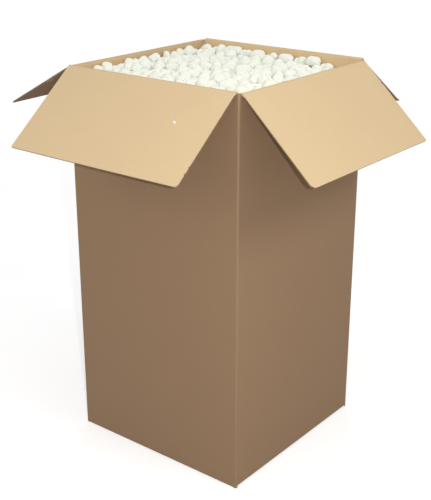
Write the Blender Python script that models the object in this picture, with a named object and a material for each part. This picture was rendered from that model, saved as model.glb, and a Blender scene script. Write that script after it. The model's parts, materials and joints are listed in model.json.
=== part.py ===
"""Tall open carton of packing peanuts.

A regular slotted carton of single-wall corrugated board stands upright with its four top flaps
folded out and down. It is filled to the brim with loose foam peanuts.

Origin: centre of the base, on the floor. +Z is up, -Y is the front wall, +X is the right wall.
The front and back flaps are the outer pair, which closes over the right and left flaps.
"""
import math
import random

import bmesh
import bpy
from mathutils import Euler, Matrix, Vector

# Driving dimensions, in metres
CARTON_WIDTH = 0.600          # outside, along X
CARTON_DEPTH = 0.600          # outside, along Y
CARTON_HEIGHT = 1.143         # floor to the front and back scores
BOARD = 0.004                 # single-wall board, C flute
FOLD_INSIDE = 0.001           # inside radius of a scored fold
FOLD_STEPS = 3
SHEET_GAP = 0.0003            # between two sheets that touch

SLOT_RUN = 0.001              # how far a slot runs past the creased board
SLOT_WIDTH = 0.0005           # slit between a flap's fold and the corner beside it
FRONT_CORNER_STRIP = 0.001    # flat board between a fold and a slot, on the front and back
SIDE_CORNER_STRIP = 0.0035    # and on the sides
CORNER_SETBACK = 0.002        # from a score's level to the end of the upright corner
FLAP_SEAM = 0.008             # between two flaps of a pair that meet
LAP_WIDTH = 0.035             # glue lap of the maker's joint
LAP_SETBACK = 0.001           # from the lap's wall to the raw edge of the wall glued on it
HINGE_LIP = 0.00045           # from a score's axis to the board on each side

FRONT_FLAP_DROP = math.radians(39.4)    # below level, as each flap rests
RIGHT_FLAP_DROP = math.radians(43.2)
BACK_FLAP_DROP = math.radians(34.1)
LEFT_FLAP_DROP = math.radians(28.2)
FLAP_CORNER = 0.003           # corner radius of a flap that kept its shape
FRONT_WORN_CORNER = 0.012     # rubbed corner beside the carton's near edge
RIGHT_WORN_CORNER = 0.030
CORNER_STEPS = 6

CHIP_DIAMETER = 0.031
CHIP_LENGTH = 0.044
CHIP_SIDES = 8
CHIP_SIZE_SPREAD = 0.12       # share by which a peanut may differ
CHIP_LENGTH_SPREAD = 0.15
CHIP_PITCH = 0.037            # between neighbours in the top layer
CHIP_ROW_SHARE = 0.87         # row spacing as a share of the pitch
CHIP_JITTER = 0.006
CHIP_TILT = math.radians(35)
CHIP_HEADROOM = 0.0003        # from the highest peanut to a closed inner flap
CHIP_ROUGHNESS = 0.010        # how unevenly the top layer lies
CROWN = 0.010                 # how much lower the heap is at its corners
CORE_COVER = 0.026            # from the top of the heap to its solid core
FILL_EDGE = 0.002             # rounding of the core along the board's folds
FILL_SEED = 7

# Where the sheets lie
HALF_WIDTH = CARTON_WIDTH / 2
HALF_DEPTH = CARTON_DEPTH / 2
FOLD_RADIUS = BOARD + FOLD_INSIDE       # outside radius of a scored fold
NESTING = BOARD + SHEET_GAP             # the inner flaps lie this much deeper than the outer
OUTER_SCORE = CARTON_HEIGHT
INNER_SCORE = CARTON_HEIGHT - NESTING
OUTER_FLAP_LENGTH = (CARTON_DEPTH - FLAP_SEAM) / 2
INNER_FLAP_LENGTH = (CARTON_WIDTH - FLAP_SEAM) / 2
OUTER_SLOT = FOLD_RADIUS + FRONT_CORNER_STRIP + SLOT_WIDTH  # from a corner to an outer flap
INNER_SLOT = FOLD_RADIUS + SIDE_CORNER_STRIP + SLOT_WIDTH   # and to an inner flap
LAP_SLOT = OUTER_SLOT + NESTING                             # and to the back flap by the lap
CORNER_BOTTOM = CORNER_SETBACK
CORNER_TOP = CARTON_HEIGHT - CORNER_SETBACK
SLOT_TOP = INNER_SCORE - HINGE_LIP - BOARD - SLOT_RUN
SLOT_BOTTOM = NESTING + FOLD_RADIUS + SLOT_RUN
FILL_FLOOR = NESTING + BOARD + SHEET_GAP
FILL_TOP = INNER_SCORE - BOARD - CHIP_HEADROOM
FILL_HALF_WIDTH = HALF_WIDTH - BOARD - SHEET_GAP
FILL_HALF_DEPTH = HALF_DEPTH - BOARD - SHEET_GAP

UP = Vector((0, 0, 1))


def new_collection(name):
    collection = bpy.data.collections.new(name)
    bpy.context.scene.collection.children.link(collection)
    return collection


def new_material(name, colour, roughness):
    material = bpy.data.materials.new(name)
    material.use_nodes = True
    shader = material.node_tree.nodes["Principled BSDF"]
    shader.inputs["Base Color"].default_value = (*colour, 1.0)
    shader.inputs["Roughness"].default_value = roughness
    shader.inputs["Metallic"].default_value = 0.0
    return material


def new_object(name, bm, collection, material=None):
    mesh = bpy.data.meshes.new(name)
    bm.to_mesh(mesh)
    bm.free()
    made = bpy.data.objects.new(name, mesh)
    collection.objects.link(made)
    if material:
        mesh.materials.append(material)
    return made


def as_cutter(made):
    made.hide_render = True
    made.display_type = 'WIRE'
    return made


def box_bmesh(low, high):
    """A closed box from its lowest corner to its highest."""
    low, high = Vector(low), Vector(high)
    bm = bmesh.new()
    bmesh.ops.create_cube(bm, size=1)
    bm.transform(Matrix.Translation((low + high) / 2) @ Matrix.Diagonal((*(high - low), 1)))
    return bm


def pull_edge(bm, edge, move):
    """Pull one edge out into a new flat face, and return its far edge and the face."""
    made = bmesh.ops.extrude_edge_only(bm, edges=[edge])["geom"]
    corners = [item for item in made if isinstance(item, bmesh.types.BMVert)]
    bmesh.ops.translate(bm, verts=corners, vec=move)
    face = next(item for item in made if isinstance(item, bmesh.types.BMFace))
    far = next(item for item in face.edges if all(corner in corners for corner in item.verts))
    return far, face


def fold_edge(bm, edge, centre, axis, angle):
    """Carry one edge round a scored fold, and return its far edge."""
    swept = bmesh.ops.spin(bm, geom=[edge], cent=centre, axis=axis, angle=angle,
                           steps=FOLD_STEPS)["geom_last"]
    return next(item for item in swept if isinstance(item, bmesh.types.BMEdge))


def level_edges(face):
    """The lowest and the highest edge of an upright face."""
    ranked = sorted(face.edges, key=lambda edge: edge.verts[0].co.z + edge.verts[1].co.z)
    return ranked[0], ranked[-1]


def finish_corner(bm, face):
    """Pull a face beside a fold up and down to the ends of the upright corner."""
    bottom, top = level_edges(face)
    pull_edge(bm, top, UP * (CORNER_TOP - SLOT_TOP))
    pull_edge(bm, bottom, UP * (CORNER_BOTTOM - SLOT_BOTTOM))


def finish_wall(bm, face, inwards, score, base, flap_length):
    """Pull a wall up to its top score, and down and in to make its bottom flap."""
    bottom, top = level_edges(face)
    pull_edge(bm, top, UP * (score - HINGE_LIP - SLOT_TOP))
    bottom, _ = pull_edge(bm, bottom, UP * (base + FOLD_RADIUS - SLOT_BOTTOM))
    centre = bottom.verts[0].co + inwards * FOLD_RADIUS
    bottom = fold_edge(bm, bottom, centre, UP.cross(inwards), -math.pi / 2)
    pull_edge(bm, bottom, inwards * (flap_length - FOLD_RADIUS))


def carton_sheet():
    """The outer face of the folded blank, below its top scores, as one open surface.

    One upright edge is carried round the carton: along the glue lap and the back, right, front
    and left walls, with a fold before each wall. The left wall ends beside the lap's fold and
    hides the lap, which lies one board further in.
    """
    bm = bmesh.new()
    lap_plane = -HALF_WIDTH + NESTING
    lap_end = HALF_DEPTH - FOLD_RADIUS - LAP_WIDTH
    low = bm.verts.new((lap_plane, lap_end, SLOT_BOTTOM))
    high = bm.verts.new((lap_plane, lap_end, SLOT_TOP))
    edge, lap = pull_edge(bm, bm.edges.new((low, high)), Vector((0, LAP_WIDTH, 0)))

    outer = (OUTER_SCORE, 0.0, OUTER_FLAP_LENGTH)
    inner = (INNER_SCORE, NESTING, INNER_FLAP_LENGTH)
    outer_width = CARTON_WIDTH - 2 * OUTER_SLOT
    inner_width = CARTON_DEPTH - 2 * INNER_SLOT
    front, side = FRONT_CORNER_STRIP, SIDE_CORNER_STRIP
    raw_edge = INNER_SLOT - SLOT_WIDTH - LAP_SETBACK
    walls = ((outer, front, CARTON_WIDTH - OUTER_SLOT - LAP_SLOT, front),
             (inner, side, inner_width, side),
             (outer, front, outer_width, front),
             (inner, side, inner_width, raw_edge))
    heading = Vector((0, 1, 0))
    finished = {lap}
    flapped = []
    for ends, strip_before, flap_width, strip_after in walls:
        inwards = heading.cross(UP)
        edge = fold_edge(bm, edge, edge.verts[0].co + inwards * FOLD_RADIUS, UP, -math.pi / 2)
        heading, inwards = inwards, -heading
        edge, _ = pull_edge(bm, edge, heading * strip_before)
        edge, slot_before = pull_edge(bm, edge, heading * SLOT_WIDTH)
        edge, wall = pull_edge(bm, edge, heading * flap_width)
        edge, slot_after = pull_edge(bm, edge, heading * SLOT_WIDTH)
        edge, _ = pull_edge(bm, edge, heading * strip_after)
        finished.update((slot_before, wall, slot_after))
        flapped.append((wall, inwards, *ends))
    for face in [face for face in bm.faces if face not in finished]:
        finish_corner(bm, face)
    for wall in flapped:
        finish_wall(bm, *wall)
    bmesh.ops.remove_doubles(bm, verts=bm.verts, dist=0.00001)
    return bm


def make_carton(collection, material):
    """The folded sheet, given its board inwards, with each top score creased at 45 degrees."""
    bm = carton_sheet()
    bmesh.ops.recalc_face_normals(bm, faces=bm.faces)
    bmesh.ops.solidify(bm, geom=bm.faces[:], thickness=BOARD)
    for rim in (OUTER_SCORE - HINGE_LIP, INNER_SCORE - HINGE_LIP):
        for corner in [v for v in bm.verts if abs(v.co.z - rim) < SHEET_GAP]:
            depth = min(HALF_WIDTH - abs(corner.co.x), HALF_DEPTH - abs(corner.co.y))
            if depth > BOARD / 2:
                corner.co.z -= BOARD
    return new_object("carton", bm, collection, material)


def make_flap(name, hinge, heading, length, ends, drop, corners, collection, material):
    """One top flap, folded out and down about its score.

    It is drawn level, with its score along X, its free edge at +Y and its outside face down.
    ends says how far it reaches to -X and to +X, and corners holds the radii of its free
    corners there.
    """
    width = sum(ends)
    bm = bmesh.new()
    bmesh.ops.create_grid(bm, x_segments=1, y_segments=1, size=0.5)
    bmesh.ops.translate(bm, verts=bm.verts, vec=(0, 0.5, 0))
    bmesh.ops.scale(bm, verts=bm.verts, vec=(width, length - HINGE_LIP, 1))
    bmesh.ops.translate(bm, verts=bm.verts, vec=(width / 2 - ends[0], HINGE_LIP, 0))
    bm.verts.ensure_lookup_table()
    free = sorted((v for v in bm.verts if v.co.y > length / 2), key=lambda v: v.co.x)
    for corner, radius in zip(free, corners):
        bmesh.ops.bevel(bm, geom=[corner], offset=radius, segments=CORNER_STEPS, profile=0.5,
                        affect='VERTICES', material=-1)
    made = bmesh.ops.extrude_face_region(bm, geom=bm.faces[:])["geom"]
    upper = [item for item in made if isinstance(item, bmesh.types.BMVert)]
    bmesh.ops.translate(bm, verts=upper, vec=(0, 0, BOARD))
    creased = [v for v in upper if v.co.y < length / 2]
    bmesh.ops.translate(bm, verts=creased, vec=(0, BOARD, 0))
    bmesh.ops.recalc_face_normals(bm, faces=bm.faces)
    flap = new_object(name, bm, collection, material)
    flap.location = hinge
    flap.rotation_euler = (-drop, 0, heading)
    return flap


def chip_bmesh():
    """One foam peanut, extruded and cut off square."""
    bm = bmesh.new()
    bmesh.ops.create_cone(bm, cap_ends=True, segments=CHIP_SIDES, radius1=CHIP_DIAMETER / 2,
                          radius2=CHIP_DIAMETER / 2, depth=CHIP_LENGTH)
    return bm


def chip_turn(rng):
    """How one peanut lies: nearly flat, any way round, a little bigger or smaller."""
    girth = 1 + rng.uniform(-CHIP_SIZE_SPREAD, CHIP_SIZE_SPREAD)
    stretch = girth * (1 + rng.uniform(-CHIP_LENGTH_SPREAD, CHIP_LENGTH_SPREAD))
    tilt = math.pi / 2 + rng.uniform(-CHIP_TILT, CHIP_TILT)
    turn = Euler((tilt, 0, rng.uniform(0, math.pi)), 'XYZ').to_matrix().to_4x4()
    return turn @ Matrix.Diagonal((girth, girth, stretch, 1))


def heap_top(x, y):
    """The height that peanuts may reach at a place: crowned, and below the closed flaps."""
    spread = (x / FILL_HALF_WIDTH) ** 2 + (y / FILL_HALF_DEPTH) ** 2
    return FILL_TOP - CROWN * spread / 2


def heap_bmesh():
    """The top layer of peanuts, in staggered rows, each kept inside the walls."""
    rng = random.Random(FILL_SEED)
    chip = chip_bmesh()
    corners = [v.co.copy() for v in chip.verts]
    heap = bmesh.new()
    rows = int(2 * FILL_HALF_DEPTH / (CHIP_PITCH * CHIP_ROW_SHARE))
    columns = int(2 * FILL_HALF_WIDTH / CHIP_PITCH)
    for row in range(rows):
        for column in range(columns):
            stagger = 0.25 if row % 2 else -0.25
            x = ((column + 0.5 + stagger) / columns * 2 - 1) * FILL_HALF_WIDTH
            y = ((row + 0.5) / rows * 2 - 1) * FILL_HALF_DEPTH
            x += rng.uniform(-CHIP_JITTER, CHIP_JITTER)
            y += rng.uniform(-CHIP_JITTER, CHIP_JITTER)
            turn = chip_turn(rng)
            turned = [turn @ corner for corner in corners]
            reach_x = max(abs(corner.x) for corner in turned)
            reach_y = max(abs(corner.y) for corner in turned)
            reach_z = max(corner.z for corner in turned)
            x = min(max(x, reach_x - FILL_HALF_WIDTH), FILL_HALF_WIDTH - reach_x)
            y = min(max(y, reach_y - FILL_HALF_DEPTH), FILL_HALF_DEPTH - reach_y)
            z = heap_top(x, y) - reach_z - rng.uniform(0, CHIP_ROUGHNESS)
            placed = chip.copy()
            placed.transform(Matrix.Translation((x, y, z)) @ turn)
            one = bpy.data.meshes.new("one_chip")
            placed.to_mesh(one)
            placed.free()
            heap.from_mesh(one)
            bpy.data.meshes.remove(one)
    chip.free()
    return heap


def boolean(target, tool, operation):
    modifier = target.modifiers.new(tool.name, 'BOOLEAN')
    modifier.operation = operation
    modifier.solver = 'EXACT'
    modifier.use_self = operation == 'UNION'
    modifier.object = tool


def connected_faces(first):
    """Every face that can be reached from one face across shared edges."""
    reached = {first}
    waiting = [first]
    while waiting:
        for edge in waiting.pop().edges:
            fresh = [face for face in edge.link_faces if face not in reached]
            reached.update(fresh)
            waiting.extend(fresh)
    return reached


def close_pockets(made):
    """Apply an object's Booleans, and keep its outer skin alone.

    Pockets that peanuts shut in between them are filled, as they can't be seen.
    """
    graph = bpy.context.evaluated_depsgraph_get()
    bm = bmesh.new()
    bm.from_object(made, graph)
    skin = connected_faces(min(bm.faces, key=lambda face: face.calc_center_median().z))
    pockets = [face for face in bm.faces if face not in skin]
    bmesh.ops.delete(bm, geom=pockets, context='FACES')
    made.modifiers.clear()
    bm.to_mesh(made.data)
    bm.free()


def make_fill(collection, cutters, material):
    """The loose fill: a solid core inside the walls, with the top peanuts joined to it."""
    core = box_bmesh((-FILL_HALF_WIDTH, -FILL_HALF_DEPTH, FILL_FLOOR),
                     (FILL_HALF_WIDTH, FILL_HALF_DEPTH, FILL_TOP - CORE_COVER))
    folds = [e for e in core.edges if min(v.co.z for v in e.verts) < CARTON_HEIGHT / 2]
    bmesh.ops.bevel(core, geom=folds, offset=FILL_EDGE, segments=2, profile=0.5,
                    affect='EDGES', material=-1)
    fill = new_object("chip_fill", core, collection, material)
    boolean(fill, as_cutter(new_object("top_peanuts", heap_bmesh(), cutters)), 'UNION')

    lap_room = box_bmesh((-HALF_WIDTH, HALF_DEPTH - FOLD_RADIUS - LAP_WIDTH - SHEET_GAP, 0),
                         (-HALF_WIDTH + NESTING + FOLD_RADIUS, HALF_DEPTH, CARTON_HEIGHT))
    boolean(fill, as_cutter(new_object("glue_lap_room", lap_room, cutters)), 'DIFFERENCE')
    close_pockets(fill)
    return fill


def main():
    for old in list(bpy.data.objects):
        bpy.data.objects.remove(old)
    pieces = new_collection("open_carton_of_peanuts")
    cutters = new_collection("cutters")
    kraft = new_material("kraft_board", (0.56, 0.40, 0.24), 0.85)
    foam = new_material("foam_chips", (0.90, 0.92, 0.88), 0.70)

    make_carton(pieces, kraft)
    front = (0, -HALF_DEPTH, OUTER_SCORE)
    right = (HALF_WIDTH, 0, INNER_SCORE)
    back = (0, HALF_DEPTH, OUTER_SCORE)
    left = (-HALF_WIDTH, 0, INNER_SCORE)
    outer_reach = HALF_WIDTH - OUTER_SLOT
    inner_reach = HALF_DEPTH - INNER_SLOT
    lap_reach = HALF_WIDTH - LAP_SLOT
    flaps = (
        ("front_flap", front, math.pi, OUTER_FLAP_LENGTH, (outer_reach, outer_reach),
         FRONT_FLAP_DROP, (FRONT_WORN_CORNER, FLAP_CORNER)),
        ("right_flap", right, -math.pi / 2, INNER_FLAP_LENGTH, (inner_reach, inner_reach),
         RIGHT_FLAP_DROP, (FLAP_CORNER, RIGHT_WORN_CORNER)),
        ("back_flap", back, 0.0, OUTER_FLAP_LENGTH, (lap_reach, outer_reach),
         BACK_FLAP_DROP, (FLAP_CORNER, FLAP_CORNER)),
        ("left_flap", left, math.pi / 2, INNER_FLAP_LENGTH, (inner_reach, inner_reach),
         LEFT_FLAP_DROP, (FLAP_CORNER, FLAP_CORNER)),
    )
    for flap in flaps:
        make_flap(*flap, pieces, kraft)
    make_fill(pieces, cutters, foam)


main()
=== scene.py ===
# %% [markdown]
# # An open carton of packing peanuts
#
# A tall carton of single-wall corrugated board stands open, with its four top flaps folded out and
# down, and white foam peanuts fill it to the brim. The imported CAD model gives every size and every
# hinge. This script dresses it: board with real flutes, creases bent to the angle at which each flap
# hangs, and a heap of peanuts that have settled against each other.
#
# Loading the frame comes first, so that each piece below can be placed by the model's own numbers
# and not by guesses.

# %% The frame
import json
import math
import random
from collections import namedtuple

import bmesh
import bpy
import numpy as np
from mathutils import Matrix, Vector, noise


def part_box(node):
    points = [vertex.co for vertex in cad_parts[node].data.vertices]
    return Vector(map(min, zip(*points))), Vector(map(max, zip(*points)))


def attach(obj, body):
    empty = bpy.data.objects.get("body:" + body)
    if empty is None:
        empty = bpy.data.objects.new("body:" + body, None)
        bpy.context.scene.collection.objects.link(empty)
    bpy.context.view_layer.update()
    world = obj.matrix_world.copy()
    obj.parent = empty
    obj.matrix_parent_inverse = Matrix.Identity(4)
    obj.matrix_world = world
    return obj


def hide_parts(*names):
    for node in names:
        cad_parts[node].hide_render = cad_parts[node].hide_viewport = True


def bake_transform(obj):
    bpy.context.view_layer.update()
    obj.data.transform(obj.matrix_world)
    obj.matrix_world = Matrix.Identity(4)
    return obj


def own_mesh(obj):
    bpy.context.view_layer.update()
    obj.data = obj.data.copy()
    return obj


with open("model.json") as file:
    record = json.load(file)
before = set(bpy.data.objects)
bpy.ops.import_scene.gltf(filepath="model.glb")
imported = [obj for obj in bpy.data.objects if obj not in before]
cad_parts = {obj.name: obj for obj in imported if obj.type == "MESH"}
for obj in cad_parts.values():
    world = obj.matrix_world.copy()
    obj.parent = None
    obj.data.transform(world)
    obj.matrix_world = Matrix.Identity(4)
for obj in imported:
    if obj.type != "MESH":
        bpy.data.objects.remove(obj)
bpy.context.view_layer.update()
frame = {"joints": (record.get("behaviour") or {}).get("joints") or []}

# %% [markdown]
# Corrugated board is two flat papers, the liners, glued to a wavy one, the medium. The waves are
# called flutes, and they run up the walls and on along the flaps. Their pitch is chosen so that a
# whole number fits a wall, because then the pattern meets itself at every corner.

# %% Sizes of the board and its folds
BOARD = 0.004                 # whole thickness
LINER = 0.0004                # each paper face
SHEET_GAP = 0.0003            # between two sheets that touch
FOLD_INSIDE = 0.001           # inside radius of an upright fold
FOLD_STEPS = 6
CREASE_SEAT = 0.007           # from a score to where plain board begins
FLUTES_PER_WALL = 78

wall_low, wall_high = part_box("carton")
HALF = wall_high.x
FLUTE_PITCH = 2 * HALF / FLUTES_PER_WALL
FOLD_RADIUS = BOARD + FOLD_INSIDE
NESTING = BOARD + SHEET_GAP
print("half width", round(HALF, 4), "flute pitch", round(FLUTE_PITCH, 5))

# %% [markdown]
# Each side of the carton has a score, the pressed line where its flap turns. The frame knows where
# each score is and how far the flap reaches, so the angle at which the flap hangs is worked out from
# the CAD flap's box. Every side then gets its own little frame: X along the score, Y out of the
# carton, Z up.

# %% The four sides
FLAP_LENGTH = 0.296
HEADINGS = {"front": math.pi, "right": -math.pi / 2, "back": 0.0, "left": math.pi / 2}
Side = namedtuple("Side", "name score turn drop reach")


def read_side(name, heading):
    """Where one flap's score is, how it faces, how far it drops and how far it reaches each way."""
    joint = next(joint for joint in frame["joints"] if joint["name"] == name + "_score")
    score = Vector(joint["pos_m"])
    low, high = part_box(name + "_flap")
    turn = Matrix.Rotation(heading, 4, 'Z')
    along = turn @ Vector((1, 0, 0))
    ends = sorted((low.dot(along), high.dot(along)))
    drop = math.asin((score.z - low.z) / FLAP_LENGTH)
    return Side(name, score, turn, drop, (-ends[0], ends[1]))


sides = {name: read_side(name, heading) for name, heading in HEADINGS.items()}
for side in sides.values():
    print(side.name, "flap hangs", round(math.degrees(side.drop), 1), "degrees below level")

# %% [markdown]
# Materials are built from nodes, and most nodes only need a few inputs set. One short helper adds a
# node and fills its inputs, either with a value or with a link from another node, so that each
# material below reads like a recipe.

# %% A helper for node trees
def add(tree, kind, inputs=None, **settings):
    """Add a shader node and return its outputs. An input is a value or another node's output."""
    made = tree.nodes.new("ShaderNode" + kind)
    for name, value in settings.items():
        setattr(made, name, value)
    for name, value in (inputs or {}).items():
        if isinstance(value, bpy.types.NodeSocket):
            tree.links.new(value, made.inputs[name])
        else:
            made.inputs[name].default_value = value
    return made.outputs


def new_material(name, roughness):
    material = bpy.data.materials.new(name)
    material.use_nodes = True
    shader = material.node_tree.nodes["Principled BSDF"]
    shader.inputs["Roughness"].default_value = roughness
    return material, material.node_tree, shader


def times_plus(tree, value, factor, base, **settings):
    """The value times a factor, plus a base, which weighs one pattern into another."""
    return add(tree, "Math", {0: value, 1: factor, 2: base}, operation='MULTIPLY_ADD',
               **settings)[0]


# %% [markdown]
# Kraft liner is brown, matt and never even. Seen close it has clouds where the pulp lay thicker,
# long fibres, dark and pale specks, and a faint rib over every flute. The clouds read Object
# coordinates. The fibres and ribs follow the board, so they read a UV map in metres, which has
# U across the flutes and V along them. Two vertex attributes change the colour from place to place.
# One makes flap edges pale where they are rubbed or torn, and gives the outer folds a pale band that
# is partly wear and partly painted highlight. The other is painted shade: it darkens the colour
# inside the carton and along the bend of each score.

# %% Kraft board
PLAIN_SHADE = 0.855           # the paper's shade before its patterns are added
CLOUDS, FIBRES, SPECKS, RIBS = 0.05, 0.14, 0.10, 0.010    # what each pattern adds to it
RIB_HEIGHT = 0.30             # of the ribs in the bump, where the fibres have 1
PALE_LEAST, PALE_SPREAD = 0.25, 1.2    # worn places and painted fold highlights are patchy, as the fibres are


def kraft(name, colour, wear_and_highlight_colour, painted_shade_colour):
    """Liner paper of one colour, with a pale colour for wear and painted fold highlights, and a
    darker one for painted shade.
    """
    material, tree, shader = new_material(name, 0.88)
    board = add(tree, "UVMap", uv_map="board")["UV"]
    place = add(tree, "TexCoord")["Object"]
    clouds = add(tree, "TexNoise", {"Vector": place, "Scale": 11.0, "Detail": 3.0})["Fac"]
    stretched = add(tree, "Mapping", {"Vector": board, "Scale": (900.0, 260.0, 1.0)})["Vector"]
    fibres = add(tree, "TexNoise", {"Vector": stretched, "Scale": 1.0, "Detail": 3.0,
                                    "Roughness": 0.7})["Fac"]
    specks = add(tree, "TexNoise", {"Vector": place, "Scale": 420.0, "Detail": 1.0})["Fac"]
    across = add(tree, "SeparateXYZ", {"Vector": board})["X"]
    phase = add(tree, "Math", {0: across, 1: 2 * math.pi / FLUTE_PITCH}, operation='MULTIPLY')[0]
    ribs = add(tree, "Math", {0: phase}, operation='COSINE')[0]

    shade = times_plus(tree, clouds, CLOUDS, PLAIN_SHADE)
    # The ribs also lighten the colour over each flute's crest and darken it between the crests, a
    # painted shade that goes with their bump.
    for pattern, weight in ((fibres, FIBRES), (specks, SPECKS), (ribs, RIBS)):
        shade = times_plus(tree, pattern, weight, shade)
    # Painted shade: this attribute mixes the colour towards a darker copy of it, inside the carton
    # and along the bends of the scores.
    painted_shade = add(tree, "Attribute", attribute_name="painted_shade")["Fac"]
    plain = add(tree, "Mix", {0: painted_shade, 6: (*colour, 1.0), 7: (*painted_shade_colour, 1.0)}, data_type='RGBA')[2]
    tinted = add(tree, "VectorMath", {0: plain, "Scale": shade}, operation='SCALE')["Vector"]

    # Wear and painted highlight: this attribute mixes in a pale colour, patchy with the fibres, on
    # rubbed and torn flap edges and on the carton's outer folds.
    wear_and_highlight = add(tree, "Attribute", attribute_name="wear_and_highlight")["Fac"]
    patchy = times_plus(tree, fibres, PALE_SPREAD, PALE_LEAST)
    wear_and_highlight_share = add(tree, "Math", {0: wear_and_highlight, 1: patchy}, operation='MULTIPLY', use_clamp=True)[0]
    mixed = add(tree, "Mix", {0: wear_and_highlight_share, 6: tinted, 7: (*wear_and_highlight_colour, 1.0)}, data_type='RGBA')[2]
    tree.links.new(mixed, shader.inputs["Base Color"])

    height = times_plus(tree, ribs, RIB_HEIGHT, fibres)
    bump = add(tree, "Bump", {"Height": height, "Strength": 0.35, "Distance": 0.00025})["Normal"]
    tree.links.new(bump, shader.inputs["Normal"])
    return material


# Both liners are the same kraft. The outside one is written much darker, and that difference is
# painted shade for the walls and the flaps' undersides.
outside_liner_shaded = kraft("kraft_outside_shaded", (0.362, 0.226, 0.127), (0.54, 0.40, 0.27),
                      (0.251, 0.148, 0.080))
inside_liner = kraft("kraft_inside", (0.759, 0.563, 0.326), (0.84, 0.66, 0.45),
                     (0.600, 0.425, 0.238))

# %% [markdown]
# The medium between the liners is rougher and greyer than they are, and it shows wherever the board
# is cut. The foam is starch or polystyrene blown into white chips: matt, a little translucent, and
# never quite the same white, so every peanut carries its own tint value. Its surface is so rough
# that it looks flat and bright even where it turns away from the light, which is what the
# shader's Diffuse Roughness is for.

# %% Fluting paper and foam
FLUTING_COLOUR = (0.50, 0.36, 0.23)
FOAM_COLOURS = ((0.857, 0.866, 0.770, 1.0), (0.879, 0.887, 0.828, 1.0))    # most and least creamy


def fluting_paper():
    material, tree, shader = new_material("fluting_paper", 0.95)
    place = add(tree, "TexCoord")["Object"]
    pulp = add(tree, "TexNoise", {"Vector": place, "Scale": 500.0, "Detail": 3.0})["Fac"]
    shade = times_plus(tree, pulp, 0.5, 0.75)
    colour = add(tree, "VectorMath", {0: FLUTING_COLOUR, "Scale": shade},
                 operation='SCALE')["Vector"]
    tree.links.new(colour, shader.inputs["Base Color"])
    return material


def foam():
    material, tree, shader = new_material("white_foam", 0.75)
    place = add(tree, "TexCoord")["Object"]
    tint = add(tree, "Attribute", attribute_name="tint")["Fac"]
    soft = add(tree, "TexNoise", {"Vector": place, "Scale": 60.0, "Detail": 2.0})["Fac"]
    blend = times_plus(tree, soft, 0.5, tint, use_clamp=True)
    colour = add(tree, "Mix", {0: blend, 6: FOAM_COLOURS[0], 7: FOAM_COLOURS[1]},
                 data_type='RGBA')[2]
    tree.links.new(colour, shader.inputs["Base Color"])
    cells = add(tree, "TexVoronoi", {"Vector": place, "Scale": 700.0})["Distance"]
    dents = add(tree, "TexNoise", {"Vector": place, "Scale": 150.0, "Detail": 2.0})["Fac"]
    height = times_plus(tree, cells, 0.25, dents)
    bump = add(tree, "Bump", {"Height": height, "Strength": 0.5, "Distance": 0.0008})["Normal"]
    tree.links.new(bump, shader.inputs["Normal"])
    shader.inputs["Diffuse Roughness"].default_value = 1.0
    shader.inputs["Subsurface Weight"].default_value = 0.3
    shader.inputs["Subsurface Scale"].default_value = 0.004
    shader.inputs["Subsurface Radius"].default_value = (1.0, 1.0, 1.0)
    return material


medium = fluting_paper()
white_foam = foam()
BOARD_FINISHES = (outside_liner_shaded, inside_liner, medium)
OUTSIDE, INSIDE, RAW = range(3)
print("materials:", [material.name for material in bpy.data.materials])

# %% [markdown]
# Every finished piece is handled the same way. Its bmesh becomes a mesh at the origin, faces that
# meet at a shallow angle are shaded smooth, and the piece is told which body it rides on, if any, and
# which of the script's materials it takes.

# %% Turning a bmesh into a piece
SHARP = math.radians(38)
SAME_PLACE = 0.00001          # points nearer than this are one point


def make_piece(name, bm, finishes, body=None):
    mesh = bpy.data.meshes.new(name)
    bm.to_mesh(mesh)
    bm.free()
    for finish in finishes:
        mesh.materials.append(finish)
    mesh.shade_smooth()
    mesh.set_sharp_from_angle(angle=SHARP)
    piece = bpy.data.objects.new(name, mesh)
    bpy.context.scene.collection.objects.link(piece)
    if body:
        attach(piece, body)
    print(name, len(mesh.polygons), "faces")
    return piece


def slice_through(bm, normal, places):
    """Cut every face along planes square to a normal, at these distances from the origin."""
    for place in places:
        bmesh.ops.bisect_plane(bm, geom=bm.verts[:] + bm.edges[:] + bm.faces[:], dist=SAME_PLACE,
                               plane_co=Vector(normal) * place, plane_no=normal)


def evenly(low, high, count):
    """Places that cut a length into count equal parts, both ends left out."""
    return [low + (high - low) * step / count for step in range(1, count)]


# %% [markdown]
# ## The carton below its scores
#
# On the real thing this is one sheet: four walls, four bottom flaps and a narrow glue lap. It could
# be a box with Solidify, but then the corners would be sharp and the slots between the flaps would
# be missing. So one upright edge is carried round the carton instead. Pulling it makes a flat strip,
# and spinning it about a fold's axis makes the rounded corner.

# %% Pulling and folding an edge
def pull_edge(bm, edge, move):
    """Pull one edge out into a new flat face, and return its far edge and the face."""
    made = bmesh.ops.extrude_edge_only(bm, edges=[edge])["geom"]
    corners = [item for item in made if isinstance(item, bmesh.types.BMVert)]
    bmesh.ops.translate(bm, verts=corners, vec=move)
    face = next(item for item in made if isinstance(item, bmesh.types.BMFace))
    far = next(item for item in face.edges if all(corner in corners for corner in item.verts))
    return far, face


def fold_edge(bm, edge, centre, axis, angle):
    """Carry one edge round a fold, and return its far edge."""
    swept = bmesh.ops.spin(bm, geom=[edge], cent=centre, axis=axis, angle=angle,
                           steps=FOLD_STEPS)["geom_last"]
    return next(item for item in swept if isinstance(item, bmesh.types.BMEdge))


def level_edges(face):
    """The lowest and the highest edge of an upright face."""
    ranked = sorted(face.edges, key=lambda edge: edge.verts[0].co.z + edge.verts[1].co.z)
    return ranked[0], ranked[-1]


# %% [markdown]
# Beside every flap the die cuts a slot, so the upright corners end in short posts between two slots.
# The strips are pulled in order round the carton, and only then are the corner strips pulled up to
# the tops of the posts, and the walls up to their creases and down and in to their bottom flaps.

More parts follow.
